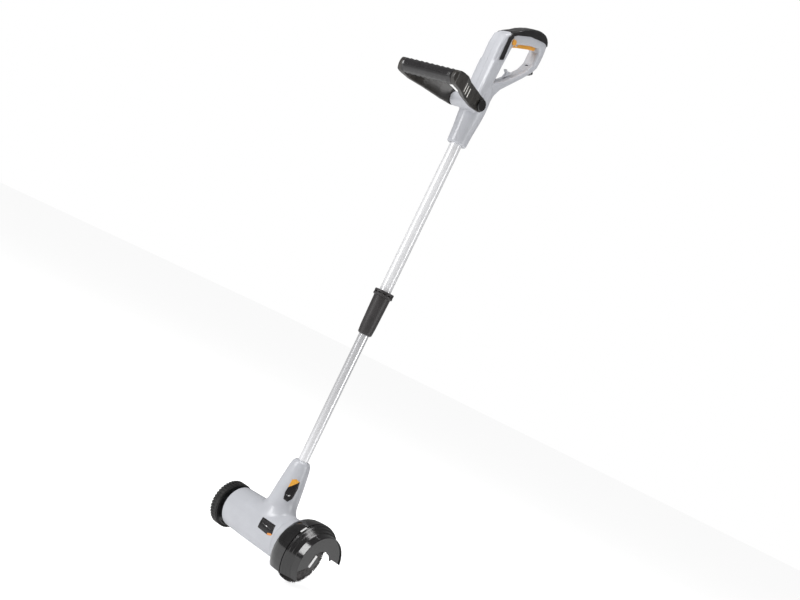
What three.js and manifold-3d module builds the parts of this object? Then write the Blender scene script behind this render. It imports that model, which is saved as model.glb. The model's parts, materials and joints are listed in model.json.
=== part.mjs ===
// Electric edge and joint brush on a telescopic pole, in millimetres.
// Origin: where the pole axis crosses the motor drum axis. +Z runs up the pole,
// +X runs along the drum to the brush end, +Y points at the user.
import * as THREE from 'three';
import { mergeVertices } from 'three/addons/utils/BufferGeometryUtils.js';
import Module from 'manifold-3d';

const wasm = await Module();
wasm.setup();

// Driving dimensions
const detail = 0.52;          // share of the nominal facets round a turned surface
const gap = 0.3;              // clearance between pieces that touch
const wall = 2.8;             // moulded wall thickness
const drumLeft = -110;        // wheel end of the motor drum
const drumSeam = 58;          // joint between motor housing and gearbox cover
const drumRight = 91.5;       // brush end of the gearbox cover
const drumR = 47;             // radius of the motor drum
const axisDrop = 7;           // brush spindle sits this far below the drum axis
const wheelDrop = 3.8;        // and the wheel this far
const neckTop = 156;          // top of the neck that holds the pole
const lowerTubeR = 11;
const upperTubeR = 13;
const tubeWall = 1.2;
const lowerTubeTop = 640;
const collarZ = 451;          // underside of the twist collar
const collarH = 101;
const upperTubeFoot = 470;
const handleZ = 900.5;        // underside of the handle housing
const handleDatum = 900.5;    // the handle outlines below are drawn with that underside here
const pivotY = -32;           // auxiliary handle pivot
const pivotZ = 988;
const auxReach = 138;         // pivot to centre of the front grip
const bossHalf = 34.5;        // half length of the pivot boss
const auxHalf = 68;           // half length of the front grip
const wheelR = 50.4;
const wheelW = 20;
const brushR = 61;
const brushW = 13.5;
const guardR = 75;            // brush guard at its seam
const guardSeam = 124.5;      // where the two halves of the guard meet
const plateHole = 30;         // radius of the hole in the guard's end plate
const handleHalf = 16;        // half thickness of the D handle
const columnHalf = 20;        // half thickness of the handle column

// Colours
const grey = { color: 0xc3c8ce, roughness: 0.45, metalness: 0 };
const black = { color: 0x1b1b1d, roughness: 0.25, metalness: 0 };
const soft = { color: 0x151516, roughness: 0.8, metalness: 0 };
const orange = { color: 0xe07a14, roughness: 0.4, metalness: 0 };
const alu = { color: 0xc9cbce, roughness: 0.35, metalness: 0.9 };
const steel = { color: 0xb4b6b8, roughness: 0.3, metalness: 0.95 };
const iron = { color: 0x6c6f72, roughness: 0.55, metalness: 0.7 };
const copper = { color: 0xb4602c, roughness: 0.4, metalness: 0.9 };

const group = new THREE.Group();
let lift = 0;                 // raises the pieces that are being added
group.name = 'lawn_edger';

// Turn a geometry into a solid with its faces outwards
function solid(geometry) {
  const g = geometry.clone();
  g.deleteAttribute('normal');
  g.deleteAttribute('uv');
  const m = mergeVertices(g, 1e-4);
  const p = m.attributes.position.array;
  const idx = m.index.array;
  const tris = [];
  let volume = 0;
  const a = new THREE.Vector3();
  const b = new THREE.Vector3();
  const c = new THREE.Vector3();
  for (let i = 0; i < idx.length; i += 3) {
    const [u, v, w] = [idx[i], idx[i + 1], idx[i + 2]];
    if (u === v || v === w || u === w) continue;
    tris.push(u, v, w);
    a.fromArray(p, 3 * u);
    b.fromArray(p, 3 * v);
    c.fromArray(p, 3 * w);
    volume += a.dot(b.cross(c));
  }
  if (volume < 0) {
    for (let i = 0; i < tris.length; i += 3) [tris[i], tris[i + 1]] = [tris[i + 1], tris[i]];
  }
  const data = { numProp: 3, vertProperties: new Float32Array(p), triVerts: new Uint32Array(tris) };
  return new wasm.Manifold(new wasm.Mesh(data));
}

// Add a named piece to the assembly
function piece(name, body, look) {
  const m = body.getMesh();
  const g = new THREE.BufferGeometry();
  const n = m.numProp;
  const pos = new Float32Array(m.vertProperties.length / n * 3);
  for (let i = 0; i < pos.length / 3; i++) {
    for (let k = 0; k < 3; k++) pos[3 * i + k] = m.vertProperties[n * i + k];
    pos[3 * i + 2] += lift;
  }
  g.setAttribute('position', new THREE.BufferAttribute(pos, 3));
  g.setIndex(new THREE.BufferAttribute(new Uint32Array(m.triVerts), 1));
  g.computeVertexNormals();
  const mesh = new THREE.Mesh(g, new THREE.MeshStandardMaterial(look));
  mesh.name = name;
  group.add(mesh);
}

// Revolve a list of [radius, height]; closes itself when it does not touch the axis
function lathe(profile, segments = 48) {
  const n = Math.max(8, 4 * Math.round(segments * detail / 4));
  const pts = profile.map(([r, h]) => new THREE.Vector2(r, h));
  if (profile[0][0] > 0) pts.push(pts[0].clone());
  return new THREE.LatheGeometry(pts, n);
}
const aboutZ = (profile, seg) => solid(lathe(profile, seg).rotateX(Math.PI / 2));

// Revolve a list of [x, radius] about an axis along X at height z
function aboutX(profile, z = 0, seg = 48, y = 0) {
  const g = lathe(profile.map(([x, r]) => [r, x]), seg);
  return solid(g.rotateZ(-Math.PI / 2).translate(0, y, z));
}

const rodX = (x0, x1, r, y = 0, z = 0, seg = 24) =>
  aboutX([[x0, 0], [x0, r], [x1, r], [x1, 0]], z, seg, y);
const rodY = (y0, y1, r, x, z, seg = 16) =>
  solid(new THREE.CylinderGeometry(r, r, y1 - y0, seg).translate(x, (y0 + y1) / 2, z));
const rodZ = (z0, z1, r, seg = 32) => aboutZ([[0, z0], [r, z0], [r, z1], [0, z1]], seg);
const ringX = (x0, x1, r0, r1, z = 0, seg = 40, y = 0) =>
  aboutX([[x0, r0], [x0, r1], [x1, r1], [x1, r0]], z, seg, y);

function box(x0, x1, y0, y1, z0, z1) {
  const g = new THREE.BoxGeometry(x1 - x0, y1 - y0, z1 - z0);
  return solid(g.translate((x0 + x1) / 2, (y0 + y1) / 2, (z0 + z1) / 2));
}

function outline(points, hole) {
  const pts = points.map(([a, b]) => new THREE.Vector2(a, b));
  if (THREE.ShapeUtils.area(pts) < 0) pts.reverse();
  const s = new THREE.Shape(pts);
  if (hole) s.holes.push(new THREE.Path(hole.map(([a, b]) => new THREE.Vector2(a, b))));
  return s;
}

// Extrude a shape by plus and minus half, with edges rounded by round, grown by grow
function slab(shape, half, round = 0, grow = 0) {
  const opt = { depth: 2 * half, bevelEnabled: false };
  if (round || grow) {
    opt.bevelEnabled = true;
    opt.bevelSegments = round > 2 ? 2 : 1;
    opt.bevelThickness = round || 0.01;
    opt.bevelSize = round;
    opt.bevelOffset = grow - round;
    opt.depth = 2 * (half - opt.bevelThickness);
  }
  return new THREE.ExtrudeGeometry(shape, opt).translate(0, 0, -opt.depth / 2);
}

// A side view drawn in [y, z], thickened along X
const yzToRow = new THREE.Matrix4().makeBasis(
  new THREE.Vector3(0, 1, 0), new THREE.Vector3(0, 0, 1), new THREE.Vector3(1, 0, 0));
const side = (points, half, round = 0, grow = 0, hole = null) =>
  solid(slab(outline(points, hole), half, round, grow).applyMatrix4(yzToRow));
// A plan view drawn in [x, y], thickened along Z
const plan = (points, half, z, round = 0, grow = 0) =>
  solid(slab(outline(points), half, round, grow).translate(0, 0, z));

const join = (...parts) => parts.reduce((a, b) => a.add(b));
const cut = (body, ...parts) => parts.reduce((a, b) => a.subtract(b), body);

// Points of a toothed circle
function toothed(n, root, tip, share, phase = 0) {
  const pts = [];
  for (let i = 0; i < n; i++) {
    for (const [f, r] of [[-0.62, root], [-0.4, tip], [0.4, tip], [0.62, root]]) {
      const a = phase + 2 * Math.PI * (i + f * share) / n;
      pts.push([r * Math.sin(a), r * Math.cos(a)]);
    }
  }
  return pts;
}

function circlePoints(r, n) {
  const pts = [];
  for (let i = 0; i < n; i++) pts.push([r * Math.sin(2 * Math.PI * i / n), r * Math.cos(2 * Math.PI * i / n)]);
  return pts;
}

// A wire bent along a coil about Z
function coil(radius, wire, z0, z1, turns, y = 0, lead = 0) {
  const pts = [];
  const n = turns * 7;
  if (lead) pts.push(new THREE.Vector3(0, y, lead), new THREE.Vector3(0, y, z0 - 30), new THREE.Vector3(0, y, z0 - 6));
  for (let i = 0; i <= n; i++) {
    const a = 2 * Math.PI * turns * i / n;
    const z = z0 + (z1 - z0) * i / n;
    pts.push(new THREE.Vector3(radius * Math.cos(a), y + radius * Math.sin(a), z));
  }
  const path = new THREE.CatmullRomCurve3(pts, false, 'centripetal');
  const s = new THREE.Shape(circlePoints(wire, 5).map(([a, b]) => new THREE.Vector2(a, b)));
  return solid(new THREE.ExtrudeGeometry(s, { steps: n, extrudePath: path }));
}

// Motor drum and neck, moulded in two halves that meet in the plane y = 0
const screwSpots = [[-90, 34], [-90, -34], [30, -34]];

function motorHousing() {
  const r = drumR;
  const drum = aboutX([[drumLeft, 0], [drumLeft, r - 4], [drumLeft + 2, r - 1.8], [-60, r],
    [drumSeam - gap, r + 0.8], [drumSeam - gap, 0]], 0, 64);
  const neck = aboutZ([[0, 0], [33, 0], [33, 52], [31, 75], [28.8, 95], [26.2, 115], [24.2, 130],
    [22.2, 142], [19.8, neckTop - 5], [15.5, neckTop], [0, neckTop]], 56);
  // The flare lies on the drum like a saddle, so its height follows the drum's round top
  const flare = lathe([[0, -12], [45.5, -12], [46.5, -0.8], [42.5, 0.8], [39.5, 3], [37, 6.5], [35, 10],
    [33.4, 14.5], [32.1, 19], [30.4, 24], [26, 26], [0, 26]], 64).rotateX(Math.PI / 2);
  const at = flare.attributes.position;
  for (let i = 0; i < at.count; i++) {
    at.setZ(i, at.getZ(i) + Math.sqrt(Math.max(0, r * r - at.getY(i) ** 2)));
  }
  const axleBoss = rodX(drumLeft - 8.5, drumLeft + 4, 9, 0, -wheelDrop);
  let shell = join(drum, neck, solid(flare), axleBoss);
  const ri = r - wall;
  const motorRoom = aboutX([[-105, 0], [-105, 9.8], [-98, 9.8], [-98, 13], [drumLeft + 3, 13],
    [drumLeft + 3, ri - 1.9], [-60, ri], [38, ri + 0.6], [38, 6], [40, 6], [40, 9.8], [47.3, 9.8],
    [47.3, 6], [50, 6], [50, 41], [drumSeam + 1, 41], [drumSeam + 1, 0]], 0, 56);
  const neckRoom = aboutZ([[0, 30], [26, 30], [29, 45], [29, 58], [0, 58]], 40);
  const neckVoid = aboutZ([[lowerTubeR + 3.4, 74], [28, 74], [25.9, 95], [23.3, 115],
    [21.4, 130], [19.6, 137], [lowerTubeR + 3.4, 137]], 40);
  const socket = rodZ(64, neckTop + 2, lowerTubeR + gap);
  const leadWay = rodZ(50, 66, 7, 20);
  const axleBore = rodX(drumLeft - 10, drumLeft + 1.5, 4.3, 0, -wheelDrop);
  shell = cut(shell, motorRoom, neckRoom, neckVoid, socket, leadWay, axleBore);
  for (const [x, z] of screwSpots) {
    const post = rodY(-32, 32, 5.5, x, z).intersect(drum);
    shell = cut(join(shell, post), rodY(-12, 40, 1.9, x, z), rodY(18, 60, 3.9, x, z));
  }
  // Air slots low on the user's side and in the end wall
  for (let i = 0; i < 5; i++) {
    shell = cut(shell, box(-62 + 12 * i, -57 + 12 * i, 20, 60, -26, -8));
  }
  return shell;
}

function buildHousing() {
  const shell = motorHousing();
  const far = 300;
  piece('housing_front', shell.subtract(box(-far, far, -gap / 2, far, -far, far)), grey);
  piece('housing_rear', shell.subtract(box(-far, far, -far, gap / 2, -far, far)), grey);
  screwSpots.forEach(([x, z], i) => {
    const screw = cut(join(rodY(-11, 18.5, 1.6, x, z, 12), rodY(18.3, 21.3, 3.5, x, z, 20)),
      box(x - 2.4, x + 2.4, 20.2, 22, z - 0.5, z + 0.5));
    piece(`housing_screw_${i + 1}`, screw, steel);
  });
}

// Series motor, its pinion and the inner-toothed gear that turns the brush
function buildMotor() {
  const stator = ringX(-68, -10, 24, drumR - wall - 1, 0, 40);
  piece('stator_core', stator, iron);
  piece('motor_bearing_left', ringX(-104.7, -98.2, 4.3, 9.5, 0, 24), steel);
  piece('motor_bearing_right', ringX(40.3, 47, 4.3, 9.5, 0, 24), steel);
  piece('motor_shaft', aboutX([[-104, 0], [-104, 4], [57, 4], [57, 2.4], [70, 2.4], [70, 0]], 0, 24), steel);
  piece('armature', aboutX([[-66, 4.3], [-72, 8], [-74, 15], [-71, 19], [-66, 19], [-66, 23], [-12, 23],
    [-12, 19], [-7, 19], [-4, 15], [-6, 8], [-12, 4.3]], 0, 32), iron);
  piece('commutator', ringX(-91, -77, 4.3, 11, 0, 24), copper);
  piece('carbon_holder_upper', box(-89, -79, -5, 5, 11.4, 27), copper);
  piece('carbon_holder_lower', box(-89, -79, -5, 5, -27, -11.4), copper);
  let fan = join(ringX(8, 10, 4.3, 36, 0, 36), ringX(8, 20, 4.3, 9, 0, 24));
  for (let i = 0; i < 9; i++) {
    const blade = new THREE.BoxGeometry(9.5, 1.6, 25).translate(14, 0, 20.5).rotateX(2 * Math.PI * i / 9);
    fan = fan.add(solid(blade));
  }
  piece('cooling_fan', fan, black);
  const m = 7 / 8.5;
  const pinionPts = toothed(12, 6 * m - 0.75, 6 * m + 0.4, 0.42);
  const pinion = side(pinionPts, 5.5, 0, 0, circlePoints(2.7, 16)).translate([64, 0, 0]);
  piece('drive_pinion', pinion, steel);
  const ringPts = toothed(29, 14.5 * m - 0.4, 14.5 * m + 0.85, 0.5);
  const cup = cut(rodX(59, 75, 15.5, 0, 0, 40), side(ringPts, 6).translate([64.6, 0, 0]),
    rodX(58, 76, 5.3, 0, 0, 24));
  piece('ring_gear', cup.translate([0, 0, -axisDrop]), steel);
}

function buildGearbox() {
  const z = -axisDrop;
  const outer = aboutX([[drumSeam, 0], [drumSeam, drumR + 0.9], [drumRight - 3.5, drumR + 0.9],
    [drumRight, drumR - 1.6], [drumRight, 0]], 0, 64);
  const room = rodX(drumSeam - 1, 84, drumR - 2.1, 0, 0, 56);
  let cover = join(cut(outer, room), rodX(76, 84.5, 14, 0, z, 32));
  cover = cut(cover, rodX(75, 85.5, 11.3, 0, z, 32), rodX(80, 95, 6.5, 0, z, 24));
  for (const [y, h] of guardScrewSpots()) cover = cut(cover, rodX(83, 95, 2.1, y, h, 14));
  piece('gearbox_cover', cover, grey);
  piece('spindle_bearing', ringX(76.3, 85.2, 5.3, 11, z, 28), steel);
}

function guardScrewSpots() {
  return [10, 190].map((a) => {
    const t = a * Math.PI / 180;
    return [34 * Math.sin(t), -axisDrop + 34 * Math.cos(t)];
  });
}

// The hood is open at the bottom on the user's side
function hoodOpening() {
  const z = -axisDrop;
  const t = 80 * Math.PI / 180;
  const mouth = [[0, z], [200 * Math.sin(t), z + 200 * Math.cos(t)], [200, -200], [-200, -200],
    [-200, z - 40], [-40, z - 40]];
  let g = side(mouth, 60).translate([130, 0, 0]).subtract(rodX(60, 120, 44, 0, z, 48));
  // Saw teeth along the rear edge break up moss and debris
  for (const x of [105, 118, 137, 148]) {
    const notch = new THREE.CylinderGeometry(5, 5, 60, 3).translate(x, 70, 0).rotateX(Math.PI / 2 - t);
    g = g.add(solid(notch.translate(0, 0, z)));
  }
  return g;
}

// The end plate stops higher, with one tooth beside the hole for the knob
function plateOpening() {
  const z = -axisDrop;
  const edge = [[0, 0], [21, 9.5], [31, 16.5], [60, 10.5], [90, 9], [90, -90], [-90, -90], [-90, -36],
    [-58, -24], [-28, -8]];
  const g = side(edge.map(([y, h]) => [y, h + z]), 4).translate([157, 0, 0]);
  return g.intersect(rodX(150, 165, guardR - 15.6, 0, z, 72));
}

function buildGuard() {
  const z = -axisDrop;
  const R = guardR;
  const inner = aboutX([[91.8, 9], [91.8, R - 9.5], [86, R - 9.5], [86, R - 7], [90, R - 4.5],
    [97, R - 2], [108, R - 0.6], [guardSeam - 1.1, R], [guardSeam - 1.1, R - 2.4], [108, R - 3],
    [97, R - 4.4], [94.3, R - 6.4], [94.3, 9]], z, 72);
  const mouth = hoodOpening();
  let first = inner.subtract(mouth);
  for (const [y, h] of guardScrewSpots()) first = cut(first, rodX(90, 96, 2.1, y, h, 14));
  piece('guard_inner', first, black);
  // Stepped rings, end plate with its hole, and the tongue that closes the seam
  const ring = aboutX([[guardSeam + 1.1, R], [130, R - 1.2], [131, R - 3.2], [136.5, R - 5], [137.5, R - 7.2],
    [144, R - 9.5], [145, R - 11.5], [152, R - 12.6], [159, R - 13.6], [159.6, R - 14.3], [159.6, R - 15.4],
    [157.2, R - 15.4], [157.2, plateHole], [154.8, plateHole], [154.8, R - 16.6], [150, R - 14.9],
    [143.2, R - 13.4], [137, R - 9.8], [130.4, R - 6.2], [guardSeam - 6, R - 5.4], [guardSeam - 6, R - 3.2],
    [guardSeam + 1.1, R - 2.9]], z, 72);
  piece('guard_outer', cut(ring, mouth.subtract(rodX(153.5, 170, R - 15.6, 0, z, 72)), plateOpening()), black);
  guardScrewSpots().forEach(([y, h], i) => {
    const s = cut(join(rodX(84.6, 95, 1.8, y, h, 12), rodX(94.6, 97.2, 3.8, y, h, 20)),
      box(96.2, 98, y - 2.6, y + 2.6, h - 0.5, h + 0.5));
    piece(`guard_screw_${i + 1}`, s, steel);
  });
}

// Spindle, round brush and its clamping parts
function buildBrush() {
  const z = -axisDrop;
  const x0 = 98;
  const x1 = x0 + brushW;
  piece('brush_spindle', aboutX([[71.5, 0], [71.5, 5], [x1 + 22, 5], [x1 + 23, 4], [x1 + 23, 0]], z, 24), steel);
  piece('drive_flange', ringX(94.8, x0 - gap, 5.3, 14, z, 32), steel);
  piece('brush_hub', ringX(x0, x1, 5.3, 22, z, 40), black);
  piece('brush_bristles', aboutX([[x0 + 0.5, 22.3], [x0, brushR - 0.5], [x0 + 1, brushR],
    [x1 + 0.5, brushR], [x1 + 1.5, brushR - 0.5], [x1, 22.3]], z, 56), iron);
  piece('clamp_washer', ringX(x1 + gap, x1 + 2.8, 5.3, 16, z, 32), iron);
  const end = x1 + 28;
  let knob = aboutX([[x1 + 3.1, 0], [x1 + 3.1, 15.5], [x1 + 8, 17.5], [end - 3, 16.5], [end, 15], [end, 0]], 0, 40);
  for (let i = 0; i < 6; i++) {
    const scoop = new THREE.CylinderGeometry(5, 5, 30, 8).rotateZ(Math.PI / 2).translate(x1 + 19, 0, 20.5);
    knob = knob.subtract(solid(scoop.rotateX(Math.PI * (i + 0.5) / 3)));
  }
  knob = cut(knob, rodX(x1, x1 + 25, 5.3, 0, 0, 24), box(end - 2.6, end + 3, -4.5, 4.5, -14, 14));
  piece('clamp_knob', knob.rotate([-16, 0, 0]).translate([0, 0, z]), black);
  const key = box(end - 2.3, end + 1.2, -4.2, 2.4, -13.5, 13.5);
  piece('knob_key', key.rotate([-16, 0, 0]).translate([0, 0, z]), steel);
}

function buildWheel() {
  const z = -wheelDrop;
  const x1 = drumLeft - 10;
  const x0 = x1 - wheelW;
  const rim = aboutX([[x0 + 2, 4.4], [x0 + 2, 10], [x0 + 8, 11], [x0 + 8, 41], [x0 + 0.5, 43],
    [x0 + 0.5, wheelR - 4.7], [x1 - 0.5, wheelR - 4.7], [x1 - 0.5, 43], [x0 + 11, 41], [x0 + 11, 11], [x1, 10],
    [x1, 4.4]], z, 48);
  piece('wheel_rim', rim, black);
  const tread = toothed(28, wheelR - 1.6, wheelR + 0.4, 0.7);
  piece('wheel_tyre', side(tread, wheelW / 2, 0, 0, circlePoints(wheelR - 4.3, 36)).translate([(x0 + x1) / 2, 0, z]), soft);
  piece('wheel_axle', aboutX([[drumLeft + 0.5, 0], [drumLeft + 0.5, 4], [x0 + 1.7, 4], [x0 + 1.7, 8],
    [x0 - 0.6, 8], [x0 - 1.6, 6.5], [x0 - 1.6, 0]], z, 28), steel);
}

// Pole: two tubes, a guide bush and the twist collar
function buildPole() {
  const a = lowerTubeR;
  const b = upperTubeR;
  piece('lower_tube', aboutZ([[a - tubeWall, 64.3], [a, 64.3], [a, lowerTubeTop], [a - tubeWall, lowerTubeTop]], 40), alu);
  piece('upper_tube', aboutZ([[b - tubeWall, upperTubeFoot], [b, upperTubeFoot], [b, handleZ + 63.5],
    [b - tubeWall, handleZ + 63.5]], 40), alu);
  const t = lowerTubeTop;
  piece('tube_guide', aboutZ([[6, t - 12], [a - tubeWall - gap, t - 12], [a - tubeWall - gap, t + gap],
    [a + 0.5, t + gap], [a + 0.5, t + 10], [6, t + 10]], 32), black);
  const z = collarZ;
  let sleeve = aboutZ([[a + 0.5, z], [13, z], [15.6, z + 2.5], [16.9, z + 19], [18.4, z + 80],
    [18.6, z + 87], [21.4, z + 88.5], [21.9, z + 90], [21.9, z + 92.5], [21, z + 93.5], [b + gap, z + 93.5],
    [b + gap, z + 19.3], [b + 1.1, z + 19.3], [b + 1.1, z + 4], [a + 0.5, z + 2]], 48);
  for (let i = 0; i < 9; i++) {
    const flute = new THREE.SphereGeometry(1, 6, 6).scale(2, 3.1, 27).translate(19.6, 0, z + 34);
    sleeve = sleeve.subtract(solid(flute.rotateZ(2 * Math.PI * (i + 0.5) / 9)));
  }
  piece('collar_sleeve', sleeve, black);
  let ring = aboutZ([[b + gap, z + 93.8], [18, z + 93.8], [18, z + 96.3], [21.7, z + 96.3],
    [21.7, z + collarH - 1], [20.6, z + collarH], [b + gap, z + collarH]], 48);
  for (let i = 0; i < 12; i++) {
    const tooth = new THREE.BoxGeometry(4, 5, 3).translate(19.2, 0, z + 95.3);
    ring = ring.add(solid(tooth.rotateZ(2 * Math.PI * i / 12)));
  }
  piece('collar_ring', ring, black);
  const collet = aboutZ([[a + 0.25, z + 4.4], [b + 0.7, z + 4.4], [b + 0.7, z + 18.8], [a + 0.25, z + 18.8]], 36);
  piece('clamp_collet', collet.subtract(box(0, 40, -1.5, 1.5, z, z + 30)), soft);
  piece('inner_lead', coil(3.4, 1.2, 665, 850, 6, 0, 70), black);
}

// Handle outlines as [y, z]
const dOuter = [[-26, 1005], [-29, 1060], [-31, 1130], [-27, 1152], [-14, 1164], [8, 1178], [21, 1188],
  [36, 1197], [54, 1206.5], [72, 1213], [84, 1215.6], [96, 1216], [105, 1213.4], [112.5, 1208], [117, 1200.5],
  [119.8, 1190], [121.2, 1176], [121, 1162], [119.5, 1146], [110, 1129], [87, 1103],
  [38, 1052], [27, 1032], [24, 1005]];
const dHole = [[4, 1052], [41, 1078], [76, 1112], [90, 1126], [100, 1146], [100, 1174], [94, 1182],
  [70, 1175], [38, 1161], [16, 1148], [10, 1136], [5, 1095]];
const column = [[-26, 1000], [-29, 1060], [-31, 1130], [-27, 1152], [-14, 1163.5], [-2, 1160], [8, 1142],
  [5, 1095], [3, 1050], [10, 1000]];
const triggerSide = [[13, 1140], [20, 1144], [38, 1152.5], [70, 1166], [94, 1175], [94, 1185.5],
  [70, 1178.5], [38, 1166], [20, 1158], [13, 1152]];
const triggerPivot = [23, 1152];
const lockSpot = [3, 1150];
const handleScrews = [[-13, 1072], [-14, 1128], [113, 1170]];
const inletDir = new THREE.Vector3(0, 0.757, -0.653).normalize();
const inletAt = new THREE.Vector3(0, 116.5, 1134);

const handleSocket = [[0, handleDatum], [20.5, handleDatum], [21.8, handleDatum + 2.5], [23.5, 935], [26.3, 962],
  [27.5, 985], [26.6, 1010], [24, 1030], [20, 1045], [0, 1045]];

// The outer form of the handle, grown by grow on every side
function handleForm(grow = 0) {
  const loop = side(dOuter, handleHalf + grow, 6, grow, dHole);
  const post = side(column, columnHalf + grow, 6, grow);
  return join(loop, post);
}

function alongInlet(geometry) {
  const q = new THREE.Quaternion().setFromUnitVectors(new THREE.Vector3(0, 1, 0), inletDir);
  return solid(geometry.applyQuaternion(q).translate(inletAt.x, inletAt.y, inletAt.z));
}

function handleShell() {
  const boss = rodX(-bossHalf, bossHalf, 15.2, pivotY, pivotZ, 36);
  const bridge = box(-22, 22, pivotY, 0, pivotZ - 13, pivotZ + 13);
  const flank = side([[-29, 1090], [-16, 1094], [-8, 1076], [-5, 1040], [-4, 1003], [-24, 1003], [-28, 1050]],
    columnHalf + 1.3, 2.5);
  let body = join(aboutZ(handleSocket, 48), handleForm(), boss, bridge, flank);
  const room = join(side(dOuter, handleHalf - wall, 0, -wall, dHole), side(column, columnHalf - wall, 0, -wall),
    aboutZ([[0, 970], [23.5, 970], [24.6, 985], [23.6, 1010], [21, 1030], [17.5, 1042], [0, 1042]], 40));
  const keep = rodX(-bossHalf, bossHalf, 9, pivotY, pivotZ, 24);
  body = cut(body, room.subtract(keep), rodZ(handleDatum - 5, handleDatum + 64, upperTubeR + gap),
    rodZ(handleDatum + 60, 975, 8, 20), rodX(-60, 60, 4.3, pivotY, pivotZ, 20));
  body = cut(body, side(triggerSide, 6.9, 0, 0.5), side([[13, 1150], [94.5, 1178], [94.5, 1198], [13, 1168]], 6.9));
  body = cut(body, rodX(-15, 15, 2.3, ...triggerPivot, 14), rodX(8, 30, 6.6, ...lockSpot, 24));
  body = cut(body, alongInlet(new THREE.CylinderGeometry(8.3, 8.3, 30, 20).translate(0, -4, 0)));
  for (const [y, z] of handleScrews) {
    const post = rodX(-17.2, 17.2, 4.6, y, z, 18).intersect(handleForm());
    body = cut(join(body, post), rodX(-30, 11, 1.9, y, z, 14), rodX(-40, -9.3, 3.8, y, z, 18));
  }
  // Shallow groove along the lower bar
  const groove = side([[30, 1050], [44, 1058], [92, 1108], [96, 1120], [86, 1113], [38, 1066]], 2);
  body = cut(body, groove.translate([handleHalf + 0.6, 0, 0]), groove.translate([-handleHalf - 0.6, 0, 0]));
  return body;
}

function buildHandle() {
  const shell = handleShell();
  const far = 2000;
  piece('handle_left', shell.subtract(box(-gap / 2, far, -far, far, 0, far)), grey);
  piece('handle_right', shell.subtract(box(-far, gap / 2, -far, far, 0, far)), grey);
  const zone = side([[-19, 1097], [-5, 1104], [-8, 1150], [-3, 1160], [9, 1169], [48, 1187], [75, 1194],
    [101, 1200], [140, 1197], [140, 1240], [8, 1240], [2, 1181], [-12, 1166], [-21, 1150]], 40);
  const skin = handleForm(1.6).intersect(zone).subtract(handleForm(gap));
  const parts = skin.decompose();
  parts.sort((a, b) => b.volume() - a.volume());
  piece('grip_overmould', parts[0], soft);
  const [ty, tz] = triggerPivot;
  piece('trigger', cut(side(triggerSide, 6.3, 1.2, 0), rodX(-20, 20, 2.3, ty, tz, 14)), orange);
  piece('trigger_pin', rodX(-14.5, 14.5, 2, ty, tz, 14), steel);
  piece('trigger_spring', coil(3, 0.6, 1186, 1208, 4, 84), steel);
  const sw = new THREE.BoxGeometry(15, 26, 12).rotateX(0.33).translate(0, 50, 1185.5);
  piece('switch_body', solid(sw), black);
  const [ly, lz] = lockSpot;
  piece('lock_button', join(rodX(11, handleHalf + 6, 6.2, ly, lz, 24), rodX(4, 11.5, 3, ly, lz, 14)), orange);
  piece('lock_spring', ringX(5, 6.6, 3.3, 5.4, lz, 20, ly), steel);
  const hook = side([[44, 1082], [50, 1088], [49, 1091.5], [54, 1096], [52.5, 1099], [44, 1095.5], [38, 1098],
    [35, 1095.5], [38.5, 1092.5], [43, 1090.5], [41, 1086], [40, 1079]], 4, 1);
  piece('cable_hook', hook.translate([0, 2.6, 3.8]), soft);
  handleScrews.forEach(([y, z], i) => {
    const screw = cut(join(rodX(-9.8, 10, 1.6, y, z, 12), rodX(-12.5, -9.6, 3.5, y, z, 20)),
      box(-14, -11.6, y - 2.4, y + 2.4, z - 0.5, z + 0.5));
    piece(`handle_screw_${i + 1}`, screw, steel);
  });
  const inlet = alongInlet(lathe([[0, -14], [8, -14], [8, 5], [6.2, 5], [6.2, -9], [0, -9]], 28));
  piece('power_inlet', inlet, black);
  for (const s of [-1, 1]) {
    const pin = alongInlet(new THREE.CylinderGeometry(1.2, 1.2, 9, 12).translate(2.6 * s, -4.2, 0));
    piece(s < 0 ? 'inlet_pin_left' : 'inlet_pin_right', pin, steel);
  }
}

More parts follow.
